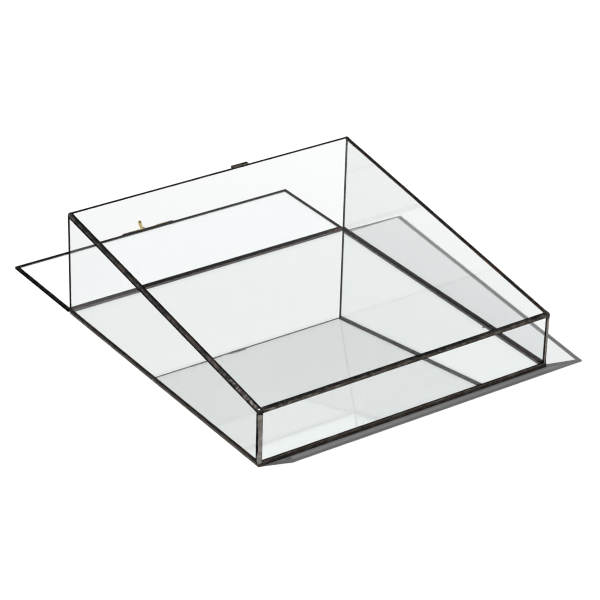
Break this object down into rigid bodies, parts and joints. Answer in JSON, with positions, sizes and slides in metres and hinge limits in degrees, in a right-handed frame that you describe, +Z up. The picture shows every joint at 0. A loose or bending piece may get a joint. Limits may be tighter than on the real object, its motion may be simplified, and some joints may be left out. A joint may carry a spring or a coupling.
{
  "type": "glass casket box",
  "caption": "Sloping clear glass box with a mirror floor, black soldered seams and a full-width back door that drops flat on a tube hinge and locks with a sliding brass bolt.",
  "frame": {"origin": "centre of the box's footprint, on its underside", "axes": "+X to the right seen from the low front, +Y to the back where the door is, +Z up; the door is at rest open, flat behind the box"},
  "size_m": [0.3008, 0.4071, 0.1012],
  "materials": {
    "clear_glass": "clear float glass, polished",
    "mirror": "back-silvered glass, polished",
    "foil": "tinned copper foil, black patina, satin",
    "solder": "hand-run solder, black patina, satin with silvery high spots",
    "black_tube": "brass tube, tinned, black patina",
    "aged_brass": "brass tube, brown patina",
    "brass": "bare brass, satin"
  },
  "bodies": {
    "box": {"floor_mirror": "mirror", "floor_foil": "foil", "left_glass": "clear_glass", "left_foil": "foil", "right_glass": "clear_glass", "right_foil": "foil", "front_glass": "clear_glass", "front_foil": "foil", "top_glass": "clear_glass", "top_foil": "foil", "corner_seam_left": "solder", "corner_seam_right": "solder", "top_seam_left": "solder", "top_seam_right": "solder", "top_seam_front": "solder", "base_seam_left": "solder", "base_seam_right": "solder", "base_seam_front": "solder", "hinge_tube_left": "aged_brass", "hinge_tube_right": "aged_brass", "hinge_solder_left": "solder", "hinge_solder_right": "solder", "hinge_rod": "brass", "bolt_keeper": "aged_brass", "keeper_solder": "solder", "wear_strip": "solder"},
    "door": {"door_glass": "clear_glass", "door_foil": "foil", "door_hinge_tube": "black_tube", "door_hinge_solder": "solder", "bolt_guide_left": "aged_brass", "bolt_guide_right": "aged_brass", "guide_solder": "solder"},
    "bolt": {"bolt": "brass"}
  },
  "joints": [
    {"name": "door_hinge", "type": "hinge", "parent": "box", "child": "door", "pos_m": [0, 0.1515, 0.0012], "axis": [1, 0, 0], "range_deg": [0, 90]},
    {"name": "bolt_slide", "type": "slide", "parent": "door", "child": "bolt", "axis": [1, 0, 0], "range_m": [0, 0.0144]}
  ]
}
